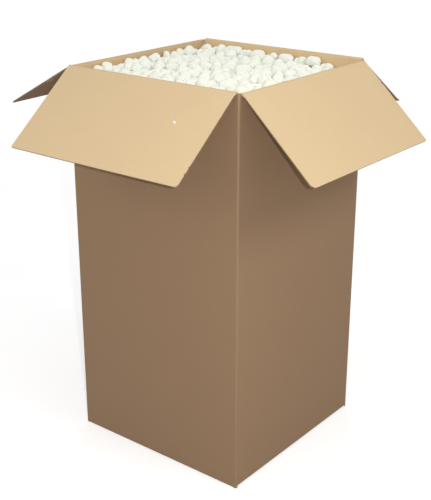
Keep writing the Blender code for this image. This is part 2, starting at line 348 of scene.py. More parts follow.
# %% The folded blank
SLOT_WIDTH = 0.0002
STRIP = {"front": (0.001, 0.001), "right": (0.0003, 0.0035), "back": (0.001, 0.001),
         "left": (0.0035, 0.0035)}
LAP_WIDTH = 0.035
LAP_POST = 0.0035             # the lap's part of its corner post
LAP_TAPER = 0.024             # how far the lap's free edge falls short at each end
LAP_SETBACK = 0.001           # from the lap's wall to the raw edge glued on it
BOTTOM_SEAM = 0.008
CORNER_SETBACK = 0.0008       # from a score's level to the end of a corner post
OUTER_TOP = sides["front"].score.z
INNER_TOP = sides["right"].score.z
SLOT_TOP = INNER_TOP - CREASE_SEAT
SLOT_BOTTOM = NESTING + FOLD_RADIUS + 0.001
UP = Vector((0, 0, 1))


def finish_wall(bm, face, inwards, top_level, base):
    """Pull a wall up to its crease, and down and in to make its bottom flap."""
    bottom, top = level_edges(face)
    if top_level > SLOT_TOP:
        pull_edge(bm, top, UP * (top_level - SLOT_TOP))
    bottom, _ = pull_edge(bm, bottom, UP * (base + FOLD_RADIUS - SLOT_BOTTOM))
    centre = bottom.verts[0].co + inwards * FOLD_RADIUS
    bottom = fold_edge(bm, bottom, centre, UP.cross(inwards), -math.pi / 2)
    pull_edge(bm, bottom, inwards * (HALF - BOTTOM_SEAM / 2 - FOLD_RADIUS))


def folded_blank():
    bm = bmesh.new()
    lap_end = HALF - FOLD_RADIUS - LAP_WIDTH
    low, high = (bm.verts.new((NESTING - HALF, lap_end, level)) for level in (SLOT_BOTTOM, SLOT_TOP))
    edge, lap = pull_edge(bm, bm.edges.new((low, high)), Vector((0, LAP_WIDTH - LAP_POST, 0)))
    edge, _ = pull_edge(bm, edge, Vector((0, LAP_POST, 0)))
    low.co.z += LAP_TAPER
    high.co.z -= LAP_TAPER
    heading = Vector((0, 1, 0))
    uncut, walls = {lap}, []
    for name in ("back", "right", "front", "left"):
        outer = name in ("front", "back")
        inwards = heading.cross(UP)
        edge = fold_edge(bm, edge, edge.verts[0].co + inwards * FOLD_RADIUS, UP, -math.pi / 2)
        heading, inwards = inwards, -heading
        first, last = STRIP[name]
        cut = 2 * (FOLD_RADIUS + SLOT_WIDTH) + first + last + (NESTING if name == "back" else 0)
        last -= LAP_SETBACK if name == "left" else 0
        pulls = (first, SLOT_WIDTH, 2 * HALF - cut, SLOT_WIDTH, last)
        made = []
        for width in pulls:
            edge, face = pull_edge(bm, edge, heading * width)
            made.append(face)
        uncut.update(made[1:4])
        walls.append((made[2], inwards, (OUTER_TOP if outer else INNER_TOP) - CREASE_SEAT,
                      0.0 if outer else NESTING))
    for face in [face for face in bm.faces if face not in uncut]:
        bottom, top = level_edges(face)
        pull_edge(bm, top, UP * (OUTER_TOP - CORNER_SETBACK - SLOT_TOP))
        pull_edge(bm, bottom, UP * (CORNER_SETBACK - SLOT_BOTTOM))
    for wall in walls:
        finish_wall(bm, *wall)
    bmesh.ops.remove_doubles(bm, verts=bm.verts, dist=SAME_PLACE)
    bmesh.ops.recalc_face_normals(bm, faces=bm.faces)
    return bm


# %% [markdown]
# A full carton is never quite flat. Its fill pushes each wall out by a few millimetres, the right one
# most, and handling leaves it faintly uneven. The sheet is first sliced into a grid, because a face
# can only bend where it has vertices. Each vertex then moves along its wall's outward direction, by
# nothing at the folds and most at mid-wall.

# %% The walls bulge
BULGE = {"front": 0.0022, "right": 0.0080, "back": 0.0030, "left": 0.0030}
BROAD_ACROSS, BROAD_UP = 0.8, 0.7      # powers under 1 keep the bulge broad
UNEVEN, UNEVEN_SCALE = 0.0005, 7
WALL_ROWS, WALL_COLUMNS = 20, 12       # what the grid cuts a wall into


def swell(share, height):
    """How far a wall stands out, from 0 at its folds to 1 in its middle."""
    across = math.cos(math.pi * share / 2) ** BROAD_ACROSS
    return across * (math.sin(math.pi * height) ** BROAD_UP)


def push_walls(bm):
    slice_through(bm, (0, 0, 1), evenly(SLOT_BOTTOM, SLOT_TOP, WALL_ROWS))
    slice_through(bm, (1, 0, 0), evenly(-HALF, HALF, WALL_COLUMNS))
    slice_through(bm, (0, 1, 0), evenly(-HALF, HALF, WALL_COLUMNS))
    reach = HALF - FOLD_RADIUS
    for vert in bm.verts:
        x, y, z = vert.co
        height = (z - SLOT_BOTTOM) / (SLOT_TOP - SLOT_BOTTOM)
        on_ends = abs(x) < reach < abs(y)
        on_sides = abs(y) < reach < abs(x)
        if not 0 < height < 1 or not (on_ends or on_sides):
            continue
        name = ("back" if y > 0 else "front") if on_ends else ("right" if x > 0 else "left")
        most = BULGE[name] + UNEVEN * noise.noise(vert.co * UNEVEN_SCALE)
        push = swell((x if on_ends else y) / reach, height) * most
        if on_ends:
            vert.co.y += math.copysign(push, y)
        else:
            vert.co.x += math.copysign(push, x)


# %% [markdown]
# Solidify gives the sheet its board. Every face that touches the outer sheet but isn't part of it is
# then a cut edge, and insetting those and pushing them in leaves the two liners standing proud of
# the medium, as a knife cut does. The UV map and the two colour attributes, one for wear with painted
# highlight and one for painted shade, are written last, once the shape is final.

# %% The board's thickness and its patterns
CUT_DEPTH = 0.0012
# The outer folds' pale band, partly wear and partly painted highlight: its width, and its strength at
# the floor and at the rim.
FOLD_PALE_WIDTH = 0.004
FOLD_PALE_LOW, FOLD_PALE_HIGH = 0.08, 0.50
# Painted shade inside the carton: all of it inside the left wall and on the lap, 0.35 of it
# elsewhere.
PAINTED_SHADE_LEFT, PAINTED_SHADE_INSIDE = 1.0, 0.35
PAINTED_SHADE_REACH = NESTING + BOARD * 1.5     # from the left wall's outside to past the lap on it
LIES_LEVEL = 0.7              # a face's normal has more Z than this if it lies on the floor


def board_layers(bm):
    """The UV map in metres and the two values that the kraft materials read."""
    wear_and_highlight, painted_shade = (bm.verts.layers.float.new(name) for name in ("wear_and_highlight", "painted_shade"))
    return bm.loops.layers.uv.new("board"), wear_and_highlight, painted_shade


def carton_wear_and_highlight(point):
    """Wear and painted highlight: highest along the carton's outer folds, more so near the rim, and 0
    on its flat walls.
    """
    depths = sorted((HALF - abs(point.x), HALF - abs(point.y), point.z))
    most = FOLD_PALE_LOW + (FOLD_PALE_HIGH - FOLD_PALE_LOW) * point.z / OUTER_TOP
    return most * max(0.0, 1 - max(depths[1], 0) / FOLD_PALE_WIDTH)


def carton_painted_shade(vert):
    """Painted shade: none outside, some inside, and most inside the left wall and on the lap."""
    if any(face.material_index == OUTSIDE for face in vert.link_faces):
        return 0.0
    return PAINTED_SHADE_LEFT if vert.co.x < PAINTED_SHADE_REACH - HALF else PAINTED_SHADE_INSIDE


def make_carton():
    bm = folded_blank()
    push_walls(bm)
    outer = set(bm.faces)
    bmesh.ops.solidify(bm, geom=bm.faces[:], thickness=BOARD)
    cuts = [face for face in bm.faces if face not in outer
            and any(other in outer for edge in face.edges for other in edge.link_faces)]
    for face in bm.faces:
        face.material_index = OUTSIDE if face in outer else RAW if face in cuts else INSIDE
    bmesh.ops.inset_region(bm, faces=cuts, thickness=LINER, depth=-CUT_DEPTH,
                           use_even_offset=True, use_boundary=True)
    uv, wear_and_highlight, painted_shade = board_layers(bm)
    for vert in bm.verts:
        vert[wear_and_highlight] = carton_wear_and_highlight(vert.co)
        vert[painted_shade] = carton_painted_shade(vert)
    for face in bm.faces:
        middle = face.calc_center_median()
        flat = abs(face.normal.z) > LIES_LEVEL
        side_flap = flat and middle.z > NESTING - SHEET_GAP / 2
        side_wall = not flat and abs(face.normal.x) > abs(face.normal.y)
        for loop in face.loops:
            x, y, z = loop.vert.co
            if side_flap or side_wall:
                loop[uv].uv = (y, z if side_wall else -abs(x))
            else:
                loop[uv].uv = (x, -abs(y) if flat else z)
    return make_piece("carton_board", bm, BOARD_FINISHES, "carton")


carton = make_carton()
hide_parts("carton")

# %% [markdown]
# ## The four top flaps
#
# A flap's edges are where anyone can see that board is corrugated, so each flap is built as board
# really is: an outside liner, a wavy medium and an inside liner. Each is drawn level, with the score
# along X and the free edge at +Y, and is then turned down to its angle. A liner starts as one square
# face whose corners are bevelled round, before it is sliced into a grid. In the other order a large
# bevel would run into the grid's own edges.

# %% A flap's outline
CORNER_STEPS = 6
CORNER_RADII = {"front": (0.010, 0.003), "right": (0.003, 0.018), "back": (0.003, 0.003),
                "left": (0.003, 0.003)}
TRIM = {"front": (0, 0), "right": (0.0035, 0), "back": (0, -0.005), "left": (0, 0)}
EDGE_RUB = 0.0025             # width of the rubbed strip along a cut edge


def flap_ends(side, inset=0.0):
    """How far a flap reaches along its score each way. Some were cut wider or narrower."""
    return [reach + trim - inset for reach, trim in zip(side.reach, TRIM[side.name])]


def flap_outline(side, inset=0.0):
    """One flat face with the flap's outline, as far in from the real edge as inset says."""
    left, right = flap_ends(side)
    width, length = left + right - 2 * inset, FLAP_LENGTH - CREASE_SEAT - inset
    bm = bmesh.new()
    bmesh.ops.create_grid(bm, x_segments=1, y_segments=1, size=0.5)
    bmesh.ops.translate(bm, verts=bm.verts, vec=(0.5, 0.5, 0))
    bmesh.ops.scale(bm, verts=bm.verts, vec=(width, length, 1))
    bmesh.ops.translate(bm, verts=bm.verts, vec=(inset - left, CREASE_SEAT, 0))
    free = sorted((v for v in bm.verts if v.co.y > length / 2), key=lambda v: v.co.x)
    for corner, radius in zip(free, CORNER_RADII[side.name]):
        bmesh.ops.bevel(bm, geom=[corner], offset=radius, segments=CORNER_STEPS, profile=0.5,
                        affect='VERTICES', material=-1)
    return bm


def flap_place(side):
    """Where the level drawing of a flap goes: onto its score, facing out, hanging down."""
    return (Matrix.Translation(side.score) @ side.turn
            @ Matrix.Rotation(-side.drop, 4, 'X'))


# %% [markdown]
# The photograph's flaps have lived a little. They bow by a millimetre or two, the front one has two
# nicks in the edge by the near corner, and the side ones are frayed. One function gives the bow, and
# the liners and the medium all use it, so they stay together. On the left flap a bit of the outside
# liner is torn at the edge. There the wear attribute alone tells the kraft to show its pale inside.

# %% Bow, nicks and rubbed edges
BOW = {"front": -0.0010, "right": 0.0022, "back": -0.0012, "left": 0.0018}
RIPPLE, RIPPLE_SCALE = 0.0003, 6
LINER_COLUMNS, LINER_ROWS = 24, 14     # what the grid cuts a liner into
NICK_GIVE = 0.012             # how far in from the edge a nick is felt
Nick = namedtuple("Nick", "side end down width depth")
NICKS = (Nick("front", -1, 0.236, 0.005, 0.0030), Nick("front", -1, 0.257, 0.006, 0.0035),
         Nick("left", -1, 0.106, 0.006, 0.0035), Nick("left", -1, 0.118, 0.005, 0.0030),
         Nick("right", -1, 0.086, 0.010, 0.0030), Nick("right", -1, 0.121, 0.006, -0.0011),
         Nick("back", 1, 0.2925, 0.010, -0.0040))
TORN_FLAP, TORN_END = "left", -1       # where the edge's outside liner is torn pale
TORN_DOWN, TORN_HALF, TORN_REACH = 0.112, 0.012, 0.008
TORN_WEAR = 3.0                        # over 1, so that it stays pale for some way in


def bow(side, x, y):
    """How far a flap's board stands off its own plane at a place on it."""
    along = x / side.reach[0]
    down = y / FLAP_LENGTH
    ripple = noise.noise(Vector((x * RIPPLE_SCALE, y * RIPPLE_SCALE, side.drop * 10)))
    return down * (BOW[side.name] * (1 - along * along) * down + RIPPLE * ripple)


def press_nicks(bm, side, inset=0.0):
    """Dent the flap's side edges. The board gives way over a short width, so nothing folds over."""
    left, right = flap_ends(side, inset)
    for nick in (nick for nick in NICKS if nick.side == side.name):
        half = nick.width / 2
        slice_through(bm, (0, 1, 0), (nick.down - half, nick.down, nick.down + half))
        edge = right if nick.end > 0 else left
        for vert in bm.verts:
            down = 1 - abs(vert.co.y - nick.down) / half
            across = 1 - (edge - vert.co.x * nick.end) / NICK_GIVE
            if down > 0 and across > 0:
                vert.co.x -= nick.end * nick.depth * down * across


def tear_edge(bm, side, wear_and_highlight):
    """Mark the liner as worn around the torn place."""
    if side.name != TORN_FLAP:
        return
    edge = flap_ends(side)[0 if TORN_END < 0 else 1]
    for vert in bm.verts:
        if abs(vert.co.y - TORN_DOWN) < TORN_HALF and vert.co.x * TORN_END > edge - TORN_REACH:
            vert[wear_and_highlight] = TORN_WEAR


def flap_liner(side, level, finish):
    """One paper face of a flap, from this level upwards."""
    bm = flap_outline(side)
    left, right = flap_ends(side)
    columns = evenly(-left, right, LINER_COLUMNS)
    rows = evenly(CREASE_SEAT, FLAP_LENGTH, LINER_ROWS)
    slice_through(bm, (1, 0, 0), (EDGE_RUB - left, *columns, right - EDGE_RUB))
    slice_through(bm, (0, 1, 0), (*rows, FLAP_LENGTH - EDGE_RUB))
    rim = {vert for edge in bm.edges if edge.is_boundary for vert in edge.verts
           if vert.co.y > CREASE_SEAT + EDGE_RUB}
    wear_and_highlight = bm.verts.layers.float.new("wear_and_highlight")
    for vert in bm.verts:
        vert[wear_and_highlight] = 1.0 if vert in rim else 0.0
    press_nicks(bm, side)
    tear_edge(bm, side, wear_and_highlight)
    bmesh.ops.recalc_face_normals(bm, faces=bm.faces)
    made = bmesh.ops.extrude_face_region(bm, geom=bm.faces[:])["geom"]
    raised = [item for item in made if isinstance(item, bmesh.types.BMVert)]
    bmesh.ops.translate(bm, verts=raised, vec=(0, 0, LINER))
    bmesh.ops.translate(bm, verts=bm.verts, vec=(0, 0, level))
    bmesh.ops.recalc_face_normals(bm, faces=bm.faces)
    for face in bm.faces:
        face.material_index = finish
    return bm


# %% [markdown]
# The medium is a grid fine enough across the flutes to draw each wave, lifted by a sine of X. It is
# given the paper's thickness afterwards, and its corners are sliced off to follow the liners.

# %% The fluted medium
WAVE_STEPS = 8
MEDIUM = 0.00022
MEDIUM_INSET = 0.0004
CORNER_CUTS = 4               # flat cuts that stand for a round corner


def trim_corner(bm, centre, radius, sign):
    """Slice a free corner to its round outline, with a few flat cuts."""
    for step in range(CORNER_CUTS):
        angle = math.radians(90 / CORNER_CUTS * (step + 0.5))
        outwards = Vector((sign * math.sin(angle), math.cos(angle), 0))
        bmesh.ops.bisect_plane(bm, geom=bm.verts[:] + bm.edges[:] + bm.faces[:], dist=SAME_PLACE,
                               plane_co=centre + outwards * radius, plane_no=outwards,
                               clear_outer=True)


def flap_medium(side):
    left, right = flap_ends(side, MEDIUM_INSET)
    length = FLAP_LENGTH - CREASE_SEAT - MEDIUM_INSET
    waves = (left + right) / FLUTE_PITCH
    bm = bmesh.new()
    bmesh.ops.create_grid(bm, x_segments=round(waves * WAVE_STEPS), y_segments=8, size=0.5)
    bmesh.ops.translate(bm, verts=bm.verts, vec=(0.5, 0.5, 0))
    bmesh.ops.scale(bm, verts=bm.verts, vec=(left + right, length, 1))
    bmesh.ops.translate(bm, verts=bm.verts, vec=(-left, CREASE_SEAT, 0))
    for sign, reach, radius in zip((-1, 1), (left, right), CORNER_RADII[side.name]):
        centre = Vector((sign * (reach - radius), CREASE_SEAT + length - radius, 0))
        trim_corner(bm, centre, radius, sign)
    bmesh.ops.remove_doubles(bm, verts=bm.verts, dist=MEDIUM)
    press_nicks(bm, side, MEDIUM_INSET)
    height = (BOARD - 2 * LINER - MEDIUM) / 2
    for vert in bm.verts:
        vert.co.z = BOARD / 2 + height * math.cos(2 * math.pi * vert.co.x / FLUTE_PITCH)
    bmesh.ops.recalc_face_normals(bm, faces=bm.faces)
    bmesh.ops.translate(bm, verts=bm.verts, vec=(0, 0, -MEDIUM / 2))
    bmesh.ops.solidify(bm, geom=bm.faces[:], thickness=-MEDIUM)
    bmesh.ops.recalc_face_normals(bm, faces=bm.faces)
    for face in bm.faces:
        face.material_index = RAW
    return bm


# %% [markdown]
# The three papers go into one mesh, which bows as a whole and is then put in its place. It stands
# for the CAD flap, and rides on the flap's body.

# %% The flaps
def join(parts):
    """Put several bmeshes into one."""
    whole = bmesh.new()
    for part in parts:
        mesh = bpy.data.meshes.new("part")
        part.to_mesh(mesh)
        part.free()
        whole.from_mesh(mesh)
        bpy.data.meshes.remove(mesh)
    return whole


def make_flap(side):
    bm = join((flap_liner(side, 0.0, OUTSIDE), flap_medium(side),
               flap_liner(side, BOARD - LINER, INSIDE)))
    uv = bm.loops.layers.uv.new("board")
    for face in bm.faces:
        for loop in face.loops:
            loop[uv].uv = loop.vert.co.xy
    for vert in bm.verts:
        vert.co.z += bow(side, vert.co.x, vert.co.y)
    bm.transform(flap_place(side))
    name = side.name + "_flap"
    flap = make_piece(name + "_board", bm, BOARD_FINISHES, name)
    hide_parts(name)
    return flap


flaps = [make_flap(side) for side in sides.values()]

# %% [markdown]
# One crumb of foam clings to the front flap. It is a small sphere, scaled flat and bent into a
# crescent, and it rides on the flap like everything else on it.

# %% The crumb
CRUMB_PLACE = (-0.173, 0.120)          # along the score, and down the flap
CRUMB_HALF = (0.0030, 0.0072, 0.0009)
CRUMB_BEND = 90.0
CRUMB_TURN = math.radians(52)


def make_crumb():
    bm = bmesh.new()
    bmesh.ops.create_icosphere(bm, subdivisions=3, radius=1)
    bmesh.ops.scale(bm, verts=bm.verts, vec=CRUMB_HALF)
    for vert in bm.verts:
        vert.co.x += CRUMB_BEND * vert.co.y ** 2
    level = BOARD + bow(sides["front"], *CRUMB_PLACE) + CRUMB_HALF[2] * 0.8
    bm.transform(flap_place(sides["front"]) @ Matrix.Translation((*CRUMB_PLACE, level))
                 @ Matrix.Rotation(CRUMB_TURN, 4, 'Z'))
    made = make_piece("foam_crumb", bm, (white_foam,), "front_flap")
    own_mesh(made)
    return made


crumb = make_crumb()

# %% [markdown]
# ## The creases
#
# Where a flap turns, the board is pressed thin by the score, the inside liner stretches over the
# outside of the bend and the outside liner buckles into it. Its section is drawn once as a few
# points round the score, and pulled along the score.

# %% A crease's section
CREASE_REACH = 0.009          # how far the strip runs into the board on each side
TUCK = 0.0001                 # how far it lies below the board's faces there
CRUSH = 0.55                  # share of the board's thickness lost at the score
NIP = 0.0014                  # from the score to where the outside liner starts to buckle in
NIP_TIP = (0.0001, -0.0005)
ARC_STEPS = 12
PAINTED_SHADE_WIDTH = 0.0035           # how far the bend's painted shade reaches along the flap
# How much painted shade each bend gets, as a share
BEND_PAINTED_SHADE = {"front": (0.65, 0.65), "right": (0.65, 0.65), "back": (0.35, 0.35),
             "left": (0.70, 1.00)}    # at each end of the score


def crease_section(drop):
    """The strip's outline in the score's own frame, as (out, up), in order round the section."""
    down_flap = Vector((math.cos(drop), -math.sin(drop)))
    off_flap = Vector((math.sin(drop), math.cos(drop)))
    depth = BOARD - TUCK
    points = [Vector((-TUCK, -CREASE_REACH)), Vector((-TUCK, -NIP)), Vector(NIP_TIP),
              down_flap * NIP + off_flap * TUCK, down_flap * CREASE_REACH + off_flap * TUCK,
              down_flap * CREASE_REACH + off_flap * depth,
              down_flap * PAINTED_SHADE_WIDTH + off_flap * depth]
    start = math.pi / 2 - drop
    for step in range(ARC_STEPS + 1):
        share = step / ARC_STEPS
        angle = start + (math.pi - start) * share
        radius = depth * (1 - CRUSH * math.sin(math.pi * share) ** 2)
        points.append(Vector((math.cos(angle), math.sin(angle))) * radius)
    points.append(Vector((-depth, -CREASE_REACH)))
    return points


# %% [markdown]
# The strip turns within a millimetre or so of the score. Beyond that it follows the wall on one side
# and the flap at its present angle on the other, and it is baked in place with no body of its own.

# %% The creases
CRUMPLE, CRUMPLE_SCALE = 0.00035, 40
CREASE_PARTS = 60             # that a crease is sliced into along its score


def make_crease(side):
    left, right = (reach + max(trim, 0) for reach, trim in zip(side.reach, TRIM[side.name]))
    bm = bmesh.new()
    outline = [bm.verts.new((-left + TUCK, point.x, point.y)) for point in crease_section(side.drop)]
    end = bm.faces.new(outline)
    made = bmesh.ops.extrude_face_region(bm, geom=[end])["geom"]
    far = [item for item in made if isinstance(item, bmesh.types.BMVert)]
    bmesh.ops.translate(bm, verts=far, vec=(left + right - 2 * TUCK, 0, 0))
    slice_through(bm, (1, 0, 0), evenly(-left, right, CREASE_PARTS))
    bmesh.ops.recalc_face_normals(bm, faces=bm.faces)
    uv, wear_and_highlight, painted_shade = board_layers(bm)
    # The bend, and the strip's inside along the wall, get painted shade that changes from one end of
    # the score to the other.
    near, far_end = BEND_PAINTED_SHADE[side.name]
    for vert in bm.verts:
        x, out, up = vert.co
        darker = near + (far_end - near) * (x + left) / (left + right)
        on_bend = math.hypot(out, up) < BOARD
        vert[painted_shade] = darker if on_bend or up < -BOARD and out < -TUCK * 2 else 0.0
        if on_bend:
            lump = noise.noise(Vector((x * CRUMPLE_SCALE, out, up)))
            vert.co.yz += vert.co.yz.normalized() * CRUMPLE * lump
    for face in bm.faces:
        middle = face.calc_center_median()
        inner = middle.z > -middle.y or middle.y < -BOARD / 2
        face.material_index = INSIDE if inner else OUTSIDE
        for loop in face.loops:
            loop[uv].uv = (loop.vert.co.x, loop.vert.co.y - loop.vert.co.z)
    bm.transform(Matrix.Translation(side.score) @ side.turn)
    piece = make_piece(side.name + "_crease", bm, BOARD_FINISHES)
    across = math.pi / 4 - side.drop / 2
    across = side.turn @ Vector((0, math.cos(across), math.sin(across)))
    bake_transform(piece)
    return piece


creases = [make_crease(side) for side in sides.values()]

# %% [markdown]
# ## The peanuts
#
# Each peanut is a short drum of blown foam, cut off and swollen at the ends, about 30 by 45 mm. One
# comes from a cone primitive with equal radii, whose rims are bevelled and whose middle is bent and
# lumped. A few dozen faces are enough, because hundreds of them lie in the heap.

# %% One peanut
PEANUT_RADIUS = 0.0162
PEANUT_LENGTH = 0.042
PEANUT_SIDES = 10
GIRTH_SPREAD = 0.12
LENGTH_SPREAD = 0.16
THINNER_END = (0.86, 1.0)     # its girth as a share of the other end's
RIM_ROUND = (0.50, 0.74)      # how far its rims are rounded, as a share of its girth
BEND_MOST = 0.22              # either way
PLUMP = (-0.05, 0.10)         # how much thicker its middle is
FLATTER = (0.88, 1.0)         # its thickness one way as a share of the other
LUMP, LUMP_SCALE = 0.0012, 45


def peanut(rng, girth, length):
    """One peanut along Z, centred on the origin."""
    bm = bmesh.new()
    bmesh.ops.create_cone(bm, cap_ends=True, segments=PEANUT_SIDES, radius1=girth,
                          radius2=girth * rng.uniform(*THINNER_END), depth=length)
    rims = [edge for edge in bm.edges if abs(edge.verts[0].co.z - edge.verts[1].co.z) < length / 9]
    bmesh.ops.bevel(bm, geom=rims, offset=girth * rng.uniform(*RIM_ROUND), segments=2,
                    profile=0.5, affect='EDGES', material=-1)
    long_edges = [edge for edge in bm.edges if edge.calc_length() > length / 4
                  and abs(edge.verts[0].co.z - edge.verts[1].co.z) > length / 4]
    bmesh.ops.subdivide_edges(bm, edges=long_edges, cuts=1)
    bend = rng.uniform(-BEND_MOST, BEND_MOST) / length
    plump = rng.uniform(*PLUMP)
    flatter = rng.uniform(*FLATTER)
    seed = Vector((rng.uniform(0, 50), rng.uniform(0, 50), 0))
    for vert in bm.verts:
        share = vert.co.z / (length / 2)
        vert.co.x *= 1 + plump * (1 - share * share)
        vert.co.y *= flatter * (1 + plump * (1 - share * share))
        vert.co.x += bend * vert.co.z ** 2
        lump = noise.noise(vert.co * LUMP_SCALE + seed)
        vert.co += vert.co.normalized() * LUMP * lump
    return bm


# %% [markdown]
# The loose peanuts may not rise past a lid, which is the level of the closed flaps, less a little
# where the side flaps meet. The photograph shows every peanut that stands against the two far walls,
# and those make the heap's skyline. They are listed one by one: the wall, the place along it, how far
# the top lies under the rim, how far the peanut leans from upright, and its size.

# %% The lid and the skyline
FILL_ROOM = HALF - BOARD - SHEET_GAP
BED_LEVEL = INNER_TOP - 0.082
LID_LEVEL = OUTER_TOP - BOARD - 0.0005
MIDDLE_DIP = 0.0045           # under the meeting edges of the closed side flaps
MIDDLE_WIDTH = 0.030
MIDDLE_END = 1.6              # how many of those widths from the middle the dip ends
BALL_GAP = 0.0086             # between neighbouring balls of one peanut of full size
RIM_SHARE = 0.45              # how round a peanut's rims are, as a share of its radius
Crest = namedtuple("Crest", "wall along sunk lean size")
SKYLINE = {
    "left": (
        (-0.206, 0.0085, 20, 0.90), (-0.170, 0.0045, 15, 1.00), (-0.141, 0.0180, 60, 0.85),
        (-0.110, 0.0180, 80, 0.90), (-0.076, 0.0055, 30, 1.00), (-0.045, 0.0115, 45, 0.80),
        (-0.018, 0.0070, 60, 1.00), (0.036, 0.0060, 75, 1.00), (0.096, 0.0100, 5, 0.85),
        (0.127, 0.0120, 50, 0.85), (0.158, 0.0080, 30, 0.85), (0.198, 0.0045, 60, 1.00),
        (0.229, 0.0185, 70, 0.80),
    ),
    "back": (
        (-0.274, 0.0045, 50, 1.15), (-0.238, 0.0125, 60, 0.80), (-0.212, 0.0045, 25, 0.95),
        (-0.184, 0.0045, 70, 0.95), (-0.153, 0.0045, 85, 0.95), (-0.126, 0.0110, 40, 0.75),
        (-0.109, 0.0090, 60, 0.85), (-0.066, 0.0045, 80, 1.10), (-0.034, 0.0170, 60, 0.80),
        (-0.013, 0.0095, 45, 0.80), (0.041, 0.0060, 85, 1.10), (0.078, 0.0155, 30, 0.80),
        (0.096, 0.0125, 0, 0.80), (0.139, 0.0050, 90, 1.00), (0.170, 0.0210, 50, 0.80),
        (0.190, 0.0200, 20, 0.90),
    ),
}
crests = [Crest(wall, *sizes) for wall, rows in SKYLINE.items() for sizes in rows]


def lid_height(x):
    """The highest that foam may reach above these places."""
    return LID_LEVEL - MIDDLE_DIP * np.clip(MIDDLE_END - np.abs(x) / MIDDLE_WIDTH, 0, 1)


def skyline():
    """Centres, directions and sizes of the peanuts that stand against the far walls."""
    centres, ways = [], []
    for crest in crests:
        radius = PEANUT_RADIUS * crest.size
        lean = math.radians(crest.lean)
        edge = radius * RIM_SHARE
        rise = ((PEANUT_LENGTH * crest.size / 2 - edge) * math.cos(lean)
                + (radius - edge) * math.sin(lean) + edge)
        height, off = OUTER_TOP - crest.sunk - rise, FILL_ROOM - radius
        on_left = crest.wall == "left"
        centres.append((-off, crest.along, height) if on_left else (crest.along, off, height))
        ways.append((0, math.sin(lean), math.cos(lean)) if on_left
                    else (math.sin(lean), 0, math.cos(lean)))
    return np.array(centres), np.array(ways), np.array([crest.size for crest in crests])


print("peanuts on the skyline:", len(crests))

# %% [markdown]
# Rigid-body simulation could drop the rest in, but a small relaxation written for them is quicker
# and always gives the same heap. Each peanut is three balls in a row. In every round all the balls
# sink a little, overlapping balls push each other apart, the walls push back, and each row of three
# is made straight again. Every loose peanut has a ceiling of its own, a few millimetres under the
# lid, and lower ones beside the far walls and towards the corners that lie deeper.

# %% Ceilings for the loose peanuts
CEILING = (0.003, 0.014)      # below the lid, lowest and highest
WALL_DROP = 0.015             # more than that beside the far walls
WALL_ZONE, WALL_END = 0.035, 1.4       # that drop ends 1.4 times the zone away from them
CORNER_DROP = {"left front": 0.018, "right back": 0.032}
CORNER_POWER = 1.5            # over 1, so that it is felt only near those corners


def ceiling(balls, radius, own):
    """The highest centre for each ball of the loose peanuts."""
    x, y = balls[:, 0], balls[:, 1]
    off_wall = np.minimum(x, -y) + FILL_ROOM
    beside_wall = WALL_DROP * np.clip(WALL_END - off_wall / WALL_ZONE, 0, 1)
    most = np.where(x > 0, CORNER_DROP["right back"], CORNER_DROP["left front"])
    in_corner = most * np.clip(x * y / FILL_ROOM ** 2, 0, 1) ** CORNER_POWER
    return lid_height(x) - own - beside_wall - in_corner - radius


# %% [markdown]
# The loop works on all the balls at once with numpy, because a plain Python loop over every pair
# would take minutes. Only the pairs that are close are looked at, and the list of those is made
# anew every tenth round.

# %% Letting the peanuts settle
ROUNDS = 400
SOFTNESS = 0.90               # share of its radius at which a ball starts to push its neighbours
PEANUT_GRID = (14, 14, 3)
FIRST_LAYER, LAYER_STEP, SCATTER = 0.020, 0.034, 0.006
UPRIGHT = (1, 1, 1.5)         # they stand a little more often than they lie
SINK_EARLY, SINK_LATE, EARLY = 0.0011, 0.0003, 0.7    # in each round, and the share that is early
PUSH = 0.30                   # share of an overlap that each ball gives way by
CLOSE = 0.006                 # pairs with a smaller gap than this are looked at
LIST_ROUNDS, PUSH_TURNS = 10, 2


def loose_peanuts(rng):
    """Centres, directions, sizes and own depths of the peanuts before they settle."""
    columns, rows, layers = PEANUT_GRID
    count = columns * rows * layers
    index = np.arange(count)
    grid = np.stack((index % columns, index // columns % rows, index // (columns * rows)), axis=1)
    spots = ((grid[:, :2] + 0.5) / (columns, rows) * 2 - 1) * (FILL_ROOM - PEANUT_RADIUS)
    centre = np.column_stack((spots, BED_LEVEL + FIRST_LAYER + LAYER_STEP * grid[:, 2]))
    centre += rng.uniform(-SCATTER, SCATTER, (count, 3))
    way = rng.normal(size=(count, 3)) * UPRIGHT
    way /= np.linalg.norm(way, axis=1, keepdims=True)
    size = 1 + rng.uniform(-GIRTH_SPREAD, GIRTH_SPREAD, count)
    return centre, way, size, rng.uniform(*CEILING, count)


